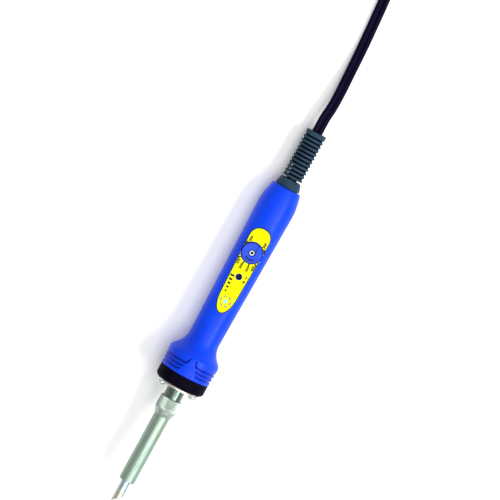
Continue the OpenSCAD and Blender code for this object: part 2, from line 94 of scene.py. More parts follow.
# The front end
COLLAR_R = 15.85
COLLAR_END = HANDLE_L + 8.1
PLATE_FROM = COLLAR_END + 0.3
PLATE_TO = PLATE_FROM + 1.2
NECK_TO = PLATE_TO + 10.1
NUT_FROM = PLATE_TO + 7.2
NUT_TO = NUT_FROM + 12
NUT_R = 6.87
PIPE_R = 5.04
PIPE_END = 202.2
TINNED_FROM = 207.5
TINNED_FULL = 209
RESISTOR_FROM = 66
RESISTOR_TO = 72

# The cord, its strain relief, its hank and its plug
CORD_W = 6.7
CORD_T = 3.4
RELIEF_FROM = -37.8
RELIEF_R = 6.4
RING_T = 1.45
RING_PITCH = 2.56
RING_COUNT = 11
END_RING_T = 2.9
HANK_NEAR = -258
HANK_FAR = -345
HANK_Y = 10
HANK_LOOP_R = 20
HANK_LAYER = 3.6
HANK_TURNS = 4
HANK_FIRST_Z = 2.65
TIE_X = -301
TIE_W = 12
TIE_T = 0.9
TIE_HALF = 23.5
TIE_TOP = 18.95
TIE_CORNER_R = 3
PLUG = (-391, -2, 8.6)

ALONG = Vector(JOINTS["barrel_pull"]["axis"]).normalized()
UP = Vector(JOINTS["dial_turn"]["axis"]).normalized()
SIDE = UP.cross(ALONG)
TAIL = Vector(JOINTS["dial_turn"]["pos_m"]) - (DIAL_U * ALONG + DIAL_Z * UP) * MM
TILT = atan2(ALONG.z, ALONG.x)
IRON = Matrix.Translation(TAIL) @ Matrix((ALONG, SIDE, UP)).transposed().to_4x4() @ Matrix.Scale(MM, 4)
BENCH = Matrix.Scale(MM, 4)


def iron(u, y=0.0, z=0.0):
    """A point of the iron in the row frame's metres."""
    return IRON @ Vector((u, y, z))


# ---- Outlines ----


def blend_step(low, high, x):
    """0 below low, 1 above high, and smooth between them."""
    t = min(max((x - low) / (high - low), 0), 1)
    return t * t * (3 - 2 * t)


def soft_min(a, b, width):
    """The smaller of a and b, with their crossing rounded over width."""
    share = min(max(0.5 + 0.5 * (b - a) / width, 0), 1)
    return b + (a - b) * share - width * share * (1 - share)


def between(start, end, count):
    """count values from start up to, and without, end."""
    return [start + (end - start) * i / count for i in range(count)]


def rounded(corners, steps=5):
    """A closed outline with each (x, y, radius) corner rounded."""
    outline = []
    for before, here, after in zip(corners[-1:] + corners[:-1], corners, corners[1:] + corners[:1]):
        corner = Vector(here[:2])
        if not here[2]:
            outline.append(tuple(corner))
            continue
        back = (Vector(before[:2]) - corner).normalized()
        on = (Vector(after[:2]) - corner).normalized()
        half = back.angle(on) / 2
        centre = corner + (back + on).normalized() * here[2] / sin(half)
        start = corner + back * here[2] / tan(half) - centre
        end = corner + on * here[2] / tan(half) - centre
        for i in range(steps + 1):
            outline.append(tuple(centre + start.lerp(end, i / steps).normalized() * here[2]))
    return outline


def smooth_route(points, gap):
    """Points about gap apart on a smooth curve through the given ones."""
    ends = [points[0] * 2 - points[1]] + points + [points[-1] * 2 - points[-2]]
    route = []
    for a, b, c, d in zip(ends, ends[1:], ends[2:], ends[3:]):
        for t in between(0, 1, max(1, round((c - b).length / gap))):
            route.append(0.5 * (2 * b + (c - a) * t + (2 * a - 5 * b + 4 * c - d) * t ** 2
                                + (3 * b - a - 3 * c + d) * t ** 3))
    return route + [points[-1]]


# ---- Meshes ----


def grid_faces(rows, columns, ends_meet=True):
    """Faces of a grid whose columns go round. Its rows go round too if ends_meet."""
    faces = []
    for i in range(rows if ends_meet else rows - 1):
        for k in range(columns):
            here, there = i * columns, (i + 1) % rows * columns
            after = (k + 1) % columns
            faces.append((here + k, here + after, there + after, there + k))
    return faces


def closed_tube(points, columns):
    """A tube of rings of columns points each, with a flat face on each end."""
    count = len(points)
    faces = grid_faces(count // columns, columns, ends_meet=False)
    return points, faces + [tuple(range(columns)), tuple(range(count - 1, count - columns - 1, -1))]


def full_turn(steps):
    return between(0, tau, steps)


def off_axis(u, radius, angle):
    """The point at a radius from the iron's axis, its angle counted from the dial's side."""
    return u, radius * sin(angle), radius * cos(angle)


def turned(outline, steps=96):
    """A closed outline of (u, radius) turned round the iron's axis."""
    points = [off_axis(u, r, a) for u, r in outline for a in full_turn(steps)]
    return points, grid_faces(len(outline), steps)


def upright(outline, u, steps=64):
    """A closed outline of (radius, z) turned round the line across the iron's axis at u."""
    points = [(u + r * cos(a), r * sin(a), z) for r, z in outline for a in full_turn(steps)]
    return points, grid_faces(len(outline), steps)


def box(u, y, z):
    """A block between the two values of each of u, y and z."""
    points = [(a, b, c) for a in u for b in y for c in z]
    faces = [(0, 1, 3, 2), (4, 6, 7, 5), (0, 4, 5, 1), (2, 3, 7, 6), (0, 2, 6, 4), (1, 5, 7, 3)]
    return points, faces


def together(shapes):
    """One (points, faces) from several."""
    points, faces = [], []
    for more_points, more_faces in shapes:
        faces += [tuple(len(points) + k for k in face) for face in more_faces]
        points += more_points
    return points, faces


def new_object(name, data):
    made = bpy.data.objects.new(name, data)
    bpy.context.scene.collection.objects.link(made)
    return made


def evaluated_mesh(made):
    return bpy.data.meshes.new_from_object(made.evaluated_get(bpy.context.evaluated_depsgraph_get()))


def raw_object(name, shape, placed=IRON):
    """An object of (points, faces), with doubled points joined and its normals turned outwards."""
    mesh = bpy.data.meshes.new(name)
    mesh.from_pydata([placed @ Vector(p) for p in shape[0]], [], shape[1])
    made = new_object(name, mesh)
    soft = bmesh.new()
    soft.from_mesh(mesh)
    bmesh.ops.remove_doubles(soft, verts=soft.verts, dist=0.002 * MM)
    bmesh.ops.dissolve_degenerate(soft, edges=soft.edges, dist=0.001 * MM)
    bmesh.ops.recalc_face_normals(soft, faces=soft.faces)
    soft.to_mesh(mesh)
    soft.free()
    return made


def cut(made, shape):
    """Takes shape away from an object of the iron."""
    cutter = raw_object("cutter", shape)
    modifier = made.modifiers.new("cut", "BOOLEAN")
    modifier.operation = "DIFFERENCE"
    modifier.solver = "EXACT"
    modifier.object = cutter
    result = evaluated_mesh(made)
    made.modifiers.clear()
    made.data = result
    bpy.data.objects.remove(cutter)


def piece(made, material, slot, body="root", replaces=(), sharp=35):
    """Finishes an object as a piece of the part."""
    made.data.materials.clear()
    made.data.materials.append(material)
    made.data.polygons.foreach_set("use_smooth", [True] * len(made.data.polygons))
    made.data.set_sharp_from_angle(angle=radians(sharp))
    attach(made, body)
    if replaces:
        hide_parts(*replaces)
    return made


def shaped(name, shape, material, slot, placed=IRON, **settings):
    """A finished piece made straight from a shape."""
    return piece(raw_object(name, shape, placed), material, slot, **settings)


# ---- Material nodes ----


def node(tree, kind, inputs=None, **settings):
    """A new shader node, its kind without ShaderNode. Inputs are numbers, or other nodes' outputs."""
    made = tree.nodes.new("ShaderNode" + kind)
    for name, value in settings.items():
        setattr(made, name, value)
    for socket, value in (inputs or {}).items():
        if isinstance(value, bpy.types.NodeSocket):
            tree.links.new(value, made.inputs[socket])
        else:
            made.inputs[socket].default_value = value
    return made


def new_material(name, **constants):
    """A Principled material with these constants, and its tree."""
    material = bpy.data.materials.new(name)
    material.use_nodes = True
    shader = material.node_tree.nodes["Principled BSDF"]
    for socket, value in constants.items():
        shader.inputs[socket.replace("_", " ")].default_value = value
    return material, material.node_tree


def iron_place(tree, stretch=(1, 1, 1)):
    """Each surface point's (u, y, z) in millimetres, times stretch."""
    turn = Matrix.Rotation(TILT, 3, "Y")
    place = node(tree, "Mapping", {
        "Vector": node(tree, "TexCoord").outputs["Object"], "Location": -(turn @ TAIL) / MM,
        "Rotation": (0, TILT, 0), "Scale": (1 / MM,) * 3,
    }).outputs["Vector"]
    return node(tree, "Mapping", {"Vector": place, "Scale": stretch}).outputs["Vector"]


def noise(tree, size, detail=3, stretch=(1, 1, 1)):
    """Noise whose blotches are about size mm across, longer where stretch is under 1."""
    inputs = {"Vector": iron_place(tree, stretch), "Scale": 1 / size, "Detail": detail}
    return node(tree, "TexNoise", inputs).outputs["Fac"]


def ramp(tree, value, stops):
    """Colours at places from 0 to 1."""
    made = node(tree, "ValToRGB", {"Fac": value})
    elements = made.color_ramp.elements
    for place, colour in stops[1:-1]:
        elements.new(place)
    for element, (place, colour) in zip(elements, stops):
        element.position = place
        element.color = (*colour, 1)
    return made.outputs["Color"]


def spread(tree, value, low, high, low_out, high_out):
    """value from low to high turned into low_out to high_out."""
    made = node(tree, "MapRange", {
        "Value": value, "From Min": low, "From Max": high, "To Min": low_out, "To Max": high_out,
    })
    return made.outputs["Result"]


def uneven(tree, low, high, size=2.5, detail=5):
    """A value that wanders between low and high over the surface."""
    return spread(tree, noise(tree, size, detail), 0.3, 0.7, low, high)


def shades(tree, value, dark, light):
    """Noise as a colour between dark and light."""
    return ramp(tree, value, [(0.3, dark), (0.7, light)])


def combined(tree, operation, a, b):
    """One number from two, by a maths node."""
    return node(tree, "Math", {0: a, 1: b}, operation=operation).outputs[0]


def mix_colour(tree, share, a, b):
    """Colour a where share is 0 and b where it is 1."""
    made = node(tree, "Mix", data_type="RGBA")
    factor, first, second = made.inputs[0], made.inputs[6], made.inputs[7]
    for socket, value in ((factor, share), (first, a), (second, b)):
        if isinstance(value, bpy.types.NodeSocket):
            tree.links.new(value, socket)
        else:
            socket.default_value = value if isinstance(value, float) else (*value, 1)
    return made.outputs[2]


def dressed(material, *layers, **links):
    """Stacks (height, depth in mm) layers of bump on a material's shader and links outputs to it."""
    tree = material.node_tree
    for height, depth in layers:
        inputs = {"Height": height, "Distance": depth * MM, "Strength": 1.0}
        if "Normal" in links:
            inputs["Normal"] = links["Normal"]
        links["Normal"] = node(tree, "Bump", inputs).outputs["Normal"]
    for socket, output in links.items():
        tree.links.new(output, tree.nodes["Principled BSDF"].inputs[socket.replace("_", " ")])
    return material


def moulded(name, dark, light, rough, grain=0.25, depth=0.012, patch=14, **constants):
    """Moulded plastic or rubber: faint cloudy colour, a fine grain and uneven gloss."""
    material, tree = new_material(name, **constants)
    return dressed(material, (noise(tree, grain, 2), depth), (noise(tree, 9, 2), 0.03),
                   Base_Color=shades(tree, noise(tree, patch, 4), dark, light),
                   Roughness=uneven(tree, rough * 0.85, rough * 1.15))


def streaked(name, dark, light, rough, stretch, tint=None):
    """Worked metal with fine lines that run the way stretch is small."""
    material, tree = new_material(name, Metallic=1.0)
    lines = noise(tree, 0.35, 5, stretch)
    wide = noise(tree, 1.6, 3, stretch)
    colour = shades(tree, lines, dark, light)
    if tint:
        stain = spread(tree, noise(tree, 9, 4), 0.45, 0.75, 0.0, 0.6)
        colour = mix_colour(tree, stain, colour, tint)
    return dressed(material, (lines, 0.01), (noise(tree, 0.12, 2), 0.004), Base_Color=colour,
                   Roughness=spread(tree, wide, 0.3, 0.7, rough * 0.7, rough * 1.35))


# ---- Materials ----


def along(tree, axis):
    """How far each surface point is along one of the iron's own axes, in millimetres."""
    return node(tree, "SeparateXYZ", {"Vector": iron_place(tree)}).outputs[axis]


def from_axis(tree, shrink=0.0):
    """Distance from the iron's axis, plus shrink for each millimetre along it past the guard's shoulder."""
    apart = node(tree, "SeparateXYZ", {"Vector": iron_place(tree)}).outputs
    flat = node(tree, "CombineXYZ", {"Y": apart["Y"], "Z": apart["Z"]}).outputs["Vector"]
    radius = node(tree, "VectorMath", {0: flat}, operation="LENGTH").outputs["Value"]
    past = spread(tree, apart["X"], GUARD_U, GUARD_U + 10, 0.0, 10 * shrink)
    return combined(tree, "ADD", radius, past)


def handle_material():
    """Glossy blue moulding with painted shade in the guard's grooves."""
    material, tree = new_material("handle_blue", Specular_IOR_Level=0.12)
    blue = shades(tree, noise(tree, 22, 4), (0.0006, 0.036, 0.58), (0.0012, 0.05, 0.72))
    # Painted shade: where the guard's skin lies below its outline, in the grooves, the blue is mixed towards
    # dark blue.
    low = spread(tree, from_axis(tree, GUARD_TAPER), GUARD_END_R - 0.1, SHOULDER_R - 0.2, 1.0, 0.0)
    on_guard = spread(tree, along(tree, "X"), 115.6, 116.4, 0.0, 0.75)
    groove_shade = combined(tree, "MULTIPLY", low, on_guard)
    return dressed(material, (noise(tree, 0.3, 2), 0.008), (noise(tree, 9, 2), 0.03),
                   Base_Color=mix_colour(tree, groove_shade, blue, (0.001, 0.006, 0.2)),
                   Roughness=uneven(tree, 0.32, 0.44))


def painted_shade_below(tree, level, dark, colour):
    """A colour with painted shade below a height over the iron's axis, as in a recess of the dial."""
    # Painted shade: below level the colour turns to dark.
    high = spread(tree, along(tree, "Z"), level - 0.12, level, 0.0, 1.0)
    return mix_colour(tree, high, dark, colour)


def dial_material():
    material, tree = new_material("dial_blue", Specular_IOR_Level=0.2)
    blue = shades(tree, noise(tree, 5, 4), (0.007, 0.046, 0.52), (0.012, 0.062, 0.62))
    # Painted shade in the dial's recesses: below DIAL_TOP - 0.2 the blue turns dark navy.
    return dressed(material, (noise(tree, 0.2, 2), 0.008), (noise(tree, 9, 2), 0.03),
                   Base_Color=painted_shade_below(tree, DIAL_TOP - 0.2, (0.003, 0.012, 0.16), blue),
                   Roughness=uneven(tree, 0.36, 0.48))


def knob_screw_material():
    """Plated steel, with painted shade in its recess."""
    material, tree = new_material("knob_screw_steel", Metallic=1.0)
    rings = noise(tree, 0.35, 5, (1.5, 1.5, 0.3))
    bright = shades(tree, rings, (0.22, 0.26, 0.25), (0.44, 0.5, 0.47))
    # Painted shade in the cross recess and well: below SCREW_SEAT + 0.86 the steel turns near black.
    return dressed(material, (rings, 0.01),
                   Base_Color=painted_shade_below(tree, SCREW_SEAT + 0.86, (0.004, 0.005, 0.006), bright),
                   Roughness=spread(tree, rings, 0.3, 0.7, 0.25, 0.45))


def relief_material():
    """Soft slate moulding, with painted shade, near black, between the rings."""
    material, tree = new_material("relief_slate", Specular_IOR_Level=0.08)
    slate = shades(tree, noise(tree, 6, 4), (0.013, 0.034, 0.058), (0.023, 0.052, 0.084))
    # Painted shade: inside the rings' outer radius, on the webs and between the rings, the slate turns near
    # black.
    shade_between_rings = spread(tree, from_axis(tree), RELIEF_R - 0.6, RELIEF_R - 0.25, 0.0, 1.0)
    return dressed(material, (noise(tree, 0.22, 2), 0.02), (noise(tree, 9, 2), 0.03),
                   Base_Color=mix_colour(tree, shade_between_rings, (0.002, 0.003, 0.006), slate),
                   Roughness=uneven(tree, 0.47, 0.63))


def cord_material():
    return moulded("cord_pvc", (0.0015, 0.001, 0.009), (0.0035, 0.0025, 0.017), 0.34,
                   grain=0.5, depth=0.015, patch=18, Specular_IOR_Level=0.025)


def collar_material():
    return moulded("collar_black", (0.0012, 0.0008, 0.003), (0.003, 0.002, 0.008), 0.5,
                   depth=0.015, patch=8, Specular_IOR_Level=0.015)


def plug_material():
    return moulded("plug_pvc", (0.01, 0.01, 0.012), (0.02, 0.02, 0.023), 0.5,
                   grain=0.3, depth=0.03, patch=9)


def label_material():
    """Printed film: even yellow with a faint ink mottle under a smooth overlay."""
    material, tree = new_material("label_film", Specular_IOR_Level=0.04)
    cloud, speck = noise(tree, 7, 4), noise(tree, 0.3, 2)
    yellow = shades(tree, cloud, (0.68, 0.7, 0.0003), (0.76, 0.78, 0.0006))
    mottle = spread(tree, speck, 0.5, 0.8, 0.0, 0.25)
    return dressed(material, (speck, 0.004), (noise(tree, 5, 2), 0.02),
                   Base_Color=mix_colour(tree, mottle, yellow, (0.68, 0.62, 0.0005)),
                   Roughness=spread(tree, cloud, 0.3, 0.7, 0.32, 0.45))


def ink_and_shade_material(name, dark, light):
    """Printed ink, and the painted shade along the label's edge, a little uneven where it is thin."""
    material, tree = new_material(name, Specular_IOR_Level=0.12)
    thin = noise(tree, 0.4, 3)
    return dressed(material, (thin, 0.006), Base_Color=ramp(tree, thin, [(0.4, dark), (0.8, light)]),
                   Roughness=spread(tree, thin, 0.3, 0.7, 0.4, 0.6))


def lens_material():
    """Clear cyan plastic with a faint painted glow."""
    # Painted glow: Emission_Strength and the emission colour below make the lens shine by itself.
    material, tree = new_material("lens_cyan", IOR=1.49, Transmission_Weight=0.35,
                                  Emission_Strength=0.2, Coat_Weight=0.15)
    glow = noise(tree, 1.1, 2)
    return dressed(material, (glow, 0.02),
                   Base_Color=shades(tree, glow, (0.12, 0.55, 0.6), (0.4, 0.85, 0.88)),
                   Emission_Color=shades(tree, glow, (0.25, 0.8, 0.85), (0.6, 1.0, 1.0)),
                   Roughness=uneven(tree, 0.12, 0.25, 0.5, 2))


def turned_metal(name, dark, light, rough):
    """Metal with fine lines round the iron's axis."""
    return streaked(name, dark, light, rough, (6, 0.35, 0.35))


def drawn_metal(name, dark, light, rough, tint=None):
    """Metal with fine lines along the iron's axis."""
    return streaked(name, dark, light, rough, (0.06, 1.6, 1.6), tint)


def tip_material():
    """Bluish chrome that turns to tinned solder with a trace of flux towards the point."""
    material, tree = new_material("tip_chrome", Metallic=1.0)
    edge = combined(tree, "ADD", along(tree, "X"), uneven(tree, -1.0, 1.0, 1.8, 3))
    tinned = spread(tree, edge, TINNED_FROM, TINNED_FULL, 0.0, 1.0)
    chrome = shades(tree, noise(tree, 0.5, 4, (0.2, 1, 1)), (0.26, 0.36, 0.38), (0.42, 0.54, 0.57))
    solder = shades(tree, noise(tree, 1.2, 4), (0.36, 0.38, 0.29), (0.54, 0.54, 0.46))
    lumps = combined(tree, "MULTIPLY", noise(tree, 1.5, 2), tinned)
    return dressed(material, (noise(tree, 0.35, 3), 0.006), (lumps, 0.12),
                   Base_Color=mix_colour(tree, tinned, chrome, solder),
                   Roughness=spread(tree, tinned, 0.0, 1.0, 0.3, 0.4))


def board_material():
    """Green solder mask over a net of copper tracks."""
    material, tree = new_material("board_green", Coat_Weight=0.3, Coat_Roughness=0.25)
    tracks = node(tree, "TexBrick", {
        "Vector": iron_place(tree), "Scale": 0.6, "Mortar Size": 0.045, "Mortar Smooth": 0.2,
        "Brick Width": 1.3, "Row Height": 0.45,
        "Color1": (0.008, 0.1, 0.03, 1), "Color2": (0.012, 0.13, 0.04, 1), "Mortar": (0.03, 0.26, 0.07, 1),
    })
    return dressed(material, (tracks.outputs["Fac"], 0.03),
                   Base_Color=tracks.outputs["Color"], Roughness=uneven(tree, 0.3, 0.45, 2, 3))


def ceramic_material():
    """Unglazed white ceramic with fine dark grains."""
    material, tree = new_material("ceramic_white", Subsurface_Weight=0.05)
    grain = noise(tree, 0.25, 4)
    white = [(0.28, (0.55, 0.5, 0.42)), (0.42, (0.8, 0.77, 0.7)), (0.8, (0.87, 0.85, 0.8))]
    return dressed(material, (grain, 0.03),
                   Base_Color=ramp(tree, grain, white), Roughness=uneven(tree, 0.6, 0.8, 3, 3))


def mica_material():
    """Pressed mica flakes."""
    material, tree = new_material("mica_flakes", Coat_Weight=0.2, Coat_Roughness=0.3)
    cells = node(tree, "TexVoronoi", {"Vector": iron_place(tree), "Scale": 0.8})
    flakes = cells.outputs["Distance"]
    return dressed(material, (flakes, 0.05),
                   Base_Color=ramp(tree, flakes, [(0.0, (0.42, 0.33, 0.2)), (0.8, (0.68, 0.58, 0.4))]),
                   Roughness=spread(tree, flakes, 0.0, 0.8, 0.3, 0.6))


def braid_material(name, dark, light, thread, depth):
    """A close weave of threads about thread mm wide."""
    material, tree = new_material(name, Sheen_Weight=0.4)
    waves = []
    for slant in ((1, 1, 1), (1, -1, -1)):
        made = node(tree, "TexWave", {
            "Vector": iron_place(tree, slant), "Scale": 0.16 / thread, "Distortion": 0.6, "Detail": 1.0,
        }, bands_direction="DIAGONAL")
        waves.append(made.outputs["Fac"])
    weave = combined(tree, "MAXIMUM", *waves)
    fuzz = noise(tree, thread * 0.4, 4)
    return dressed(material, (weave, depth), (fuzz, depth * 0.4),
                   Base_Color=ramp(tree, weave, [(0.3, dark), (0.9, light)]),
                   Roughness=spread(tree, fuzz, 0.3, 0.7, 0.765, 0.935))


def banded_material():
    """Resistors: tan lacquer with four coloured bands."""
    material, tree = new_material("resistor_bands", Coat_Weight=0.3, Coat_Roughness=0.2)
    place = spread(tree, along(tree, "X"), RESISTOR_FROM, RESISTOR_TO, 0.0, 1.0)
    lacquer = (0.5, 0.33, 0.15)
    stops = [(0.0, lacquer)]
    for at, band in ((0.14, (0.1, 0.03, 0.01)), (0.34, (0.01, 0.01, 0.01)), (0.54, (0.35, 0.02, 0.01)),
                     (0.82, (0.45, 0.28, 0.03))):
        stops += [(at, band), (at + 0.08, lacquer)]
    colour = ramp(tree, place, stops)
    colour.node.color_ramp.interpolation = "CONSTANT"
    return dressed(material, (noise(tree, 0.5, 2), 0.02),
                   Base_Color=colour, Roughness=uneven(tree, 0.3, 0.45, 0.6, 2))


# ---- The cord, its hank, tie and plug ----


def hank_route():
    """The turns of the hank, from the point where the cord joins it to the point where it leaves."""
    points = []
    for turn in range(HANK_TURNS + 1):
        z = HANK_FIRST_Z + turn * HANK_LAYER
        start = HANK_NEAR if turn else HANK_NEAR - 10
        points += [(x, HANK_Y - HANK_LOOP_R, z) for x in between(start, HANK_FAR, 8)]
        if turn == HANK_TURNS:
            break
        points += hank_bend(HANK_FAR, -1, z)
        for t in between(0, 1, 8):
            x = HANK_FAR + (HANK_NEAR - HANK_FAR) * t
            points.append((x, HANK_Y + HANK_LOOP_R, z + HANK_LAYER * blend_step(0, 1, t)))
        points += hank_bend(HANK_NEAR, 1, z + HANK_LAYER)
    return points


def hank_bend(x, side, z):
    """Half a turn at one end of the hank. side is -1 at the far end and 1 at the near one."""
    return [(x + side * HANK_LOOP_R * sin(a), HANK_Y + side * HANK_LOOP_R * cos(a), z)
            for a in between(0, pi, 12)]


def cord_route():
    """The cord's middle line on the bench's axes, from the strain relief's end ring to the plug."""
    straight = [iron(RELIEF_FROM) / MM, iron(RELIEF_FROM - 10) / MM]
    first = [(-145, 0.7, 7.9), (-153, 0.8, 6.7), (-161, 0.6, 5.3), (-169, 0.3, 3.9), (-177, 0, 2.8),
             (-185, -0.4, 2.1), (-193, -0.9, 1.8), (-201, -1.5, 1.8), (-209, -2.1, 1.8), (-217, -2.8, 1.8),
             (-225, -3.7, 1.9), (-233, -5, 2.1), (-241, -6.8, 2.4), (-249, -8.6, 2.6), (-257, -9.8, 2.65),
             (-262, -10, 2.65)]
    last = [(-345, -10, 17), (-353, -9.4, 16.8), (-361, -7.8, 15.6), (-369, -5.8, 13.6), (-377, -3.8, 11.4),
            (-385, -2.4, 9.5), (-391, -2, 8.6)]
    return smooth_route(straight + [Vector(p) for p in first + hank_route()[1:] + last], 2.5)


def twin_section():
    """The flat cord's outline: two round cores side by side with a groove between them on each face."""
    core_r = CORD_T / 2
    half = []
    for k in range(25):
        a = radians(-148 + 296 * k / 24)
        half.append((CORD_W / 2 - core_r + core_r * cos(a), core_r * sin(a)))
    return half + [(-x, -y) for x, y in half]


def make_cord(material):
    """The swept cord. It lies flat on the bench, and stands a little rolled where it is in view."""
    route, section = cord_route(), twin_section()
    points = []
    length = 0
    for i, here in enumerate(route):
        before, after = route[max(i - 1, 0)], route[min(i + 1, len(route) - 1)]
        way = (after - before).normalized()
        across = way.cross(Vector((0, 0, 1))).normalized()
        over = across.cross(way)
        length += (here - before).length
        roll = radians(16) * blend_step(4, 22, length) * (1 - blend_step(46, 64, length))
        side = across * cos(roll) - over * sin(roll)
        top = over * cos(roll) + across * sin(roll)
        points += [here + side * x + top * y for x, y in section]
    made = shaped("cord", closed_tube(points, len(section)), material, "cord", BENCH,
                  replaces=("cord_tube", "cord_hank", "cord_end"), sharp=60)
    return made, route


def make_tie(material):
    """A hook-and-loop strap round the hank, with its free end laid over the top."""
    ways = ((-1, TIE_T), (1, TIE_T), (1, TIE_TOP), (-1, TIE_TOP))
    inner = rounded([(HANK_Y + side * TIE_HALF, z, TIE_CORNER_R) for side, z in ways], 6)
    half = TIE_W / 2
    strap = [(-half, 0.15), (-half + 0.15, 0), (half - 0.15, 0), (half, 0.15), (half, TIE_T - 0.15),
             (half - 0.15, TIE_T), (-half + 0.15, TIE_T), (-half, TIE_T - 0.15)]
    flat = TIE_HALF - TIE_CORNER_R
    points = []
    for y, z in inner:
        nearest = Vector((min(max(y, HANK_Y - flat), HANK_Y + flat),
                          min(max(z, TIE_T + TIE_CORNER_R), TIE_TOP - TIE_CORNER_R)))
        outward = (Vector((y, z)) - nearest).normalized()
        points += [(TIE_X + x, y + outward.x * lift, z + outward.y * lift) for x, lift in strap]
    loop = points, grid_faces(len(inner), len(strap))
    points = []
    for y in between(-8, 14, 12) + [14, 15]:
        rise = TIE_TOP + TIE_T + 0.9 * blend_step(12, 15, y) ** 2
        narrow, thin = (0.9, 0.35) if y == 15 else (1, 1)
        points += [(TIE_X + x * narrow, y, rise + lift * thin) for x, lift in strap]
    return shaped("tie", together([loop, closed_tube(points, len(strap))]), material, "tie", BENCH,
                  replaces=("cord_tie",), sharp=50)


def make_plug(material):
    """A moulded plug: a ribbed boot, sloping shoulders, finger hollows and a flat face."""
    sections = []
    for k in range(33):
        back = k * 0.5
        rib = 0.45 * (0.5 - 0.5 * cos(tau * back / 2.6)) if back < 15.6 else 0
        size = 4.3 + 1.5 * back / 16 + rib
        sections.append((back, size, size, 2))
    # How far back each section is, half its width and height, and how square it is.
    sections += [(17, 6.4, 6.2, 2.1), (18.5, 8.2, 7.2, 2.4), (20.5, 10.2, 8.1, 2.8), (23, 11.6, 8.5, 3.2),
                 (26, 11.9, 8.55, 3.6), (30, 11.5, 8.45, 4), (34, 11.4, 8.4, 4), (38, 11.9, 8.5, 4.2),
                 (41, 12.35, 8.58, 4.4), (42.4, 12.3, 8.5, 4.4), (42.9, 12, 8.2, 4.4), (43, 11.5, 7.7, 4.4)]
    points = []
    for back, wide, high, square in sections:
        for a in full_turn(64):
            y, z = (copysign(abs(way) ** (2 / square), way) for way in (cos(a), sin(a)))
            points.append((PLUG[0] - back, PLUG[1] + wide * y, PLUG[2] + high * z))
    return shaped("plug", closed_tube(points, 64), material, "plug", BENCH,
                  replaces=("plug_body",), sharp=40)


# ---- The handle and what is on it ----


def outline_radius(u):
    """The handle's radius before the pad and the guard's details."""
    drop = WAIST_R + FLARE_R - SHOULDER_R
    arc_r = ((SHOULDER_U - FLARE_U) ** 2 + drop ** 2 - FLARE_R ** 2) / (2 * (FLARE_R - drop))
    join_u = FLARE_U + FLARE_R * (SHOULDER_U - FLARE_U) / (FLARE_R + arc_r)
    if u < BULGE_U:
        fall = 0.7 - sqrt(max(0.7 ** 2 - max(0.7 - u, 0) ** 2, 0))
        return TAIL_R + (BULGE_R - TAIL_R) * sin(pi / 2 * u / BULGE_U) - fall
    if u < FLARE_U:
        return BULGE_R - (BULGE_R - WAIST_R) * (u - BULGE_U) / (FLARE_U - BULGE_U)
    if u < join_u:
        return WAIST_R + FLARE_R - sqrt(FLARE_R ** 2 - (u - FLARE_U) ** 2)
    if u < SHOULDER_U:
        return SHOULDER_R - arc_r + sqrt(arc_r ** 2 - (SHOULDER_U - u) ** 2)
    if u < GUARD_U:
        return SHOULDER_R - 0.1 * (u - SHOULDER_U) / (GUARD_U - SHOULDER_U)
    taper = (SHOULDER_R - 0.1 - GUARD_END_R) * (u - GUARD_U) / (HANDLE_L - GUARD_U)
    edge = 0.4 - sqrt(max(0.4 ** 2 - max(u - HANDLE_L + 0.4, 0) ** 2, 0))
    return SHOULDER_R - 0.1 - taper - edge


def pad_z(u):
    """The height of the flat pad, or of the ramp at each end of it."""
    if u < PAD_FROM:
        return PAD_H + TAIL_RAMP_R - sqrt(max(TAIL_RAMP_R ** 2 - (PAD_FROM - u) ** 2, 0))
    if u > PAD_TO:
        return PAD_H + FRONT_RAMP_R - sqrt(FRONT_RAMP_R ** 2 - (u - PAD_TO) ** 2)
    return PAD_H


def tongue_half(u):
    """Half the width of the smooth tongue that the guard's grooves stop at."""
    return 1.9 + 0.42 * max(u - 117.6, 0)


def guard_detail(u, y):
    """How far the guard stands out at a point: grooves, the tongue between them and its notches."""
    from_tongue = abs(y) - tongue_half(u)
    height = 0.25 * blend_step(0.5, -0.3, from_tongue) * blend_step(115.6, 117.6, u)
    for at in GROOVES:
        off = u - at + 0.9 * exp(-max(from_tongue, 0) / 1.1)
        depth = sqrt(max(0.8 ** 2 - off ** 2, 0.12 ** 2)) - 0.12
        height -= depth * blend_step(0.1, 0.7, from_tongue)
    notch = exp(-((from_tongue - 0.3) / 0.36) ** 2)
    return height - 0.85 * notch * blend_step(115.8, 116.8, u) * blend_step(120.6, 119.6, u)


def outer_point(u, angle):
    """A point of the handle's skin: the outline with the pad and the guard's details worked in."""
    radius = outline_radius(u)
    upward = cos(angle)
    if u > 115:
        facing = radius * sin(angle) if upward > 0 else 1000
        radius += guard_detail(u, facing)
    elif 24 < u < 92 and upward > 0.2:
        radius = soft_min(radius, pad_z(u) / upward, 0.35)
    return off_axis(u, radius, angle)


def inner_point(u, radius, angle):
    """A point of the handle's hollow, which is flat under the pad."""
    if 24 < u < 91 and cos(angle) > 0.2:
        radius = min(radius, (PAD_H - WALL) / cos(angle))
    return off_axis(u, radius, angle)


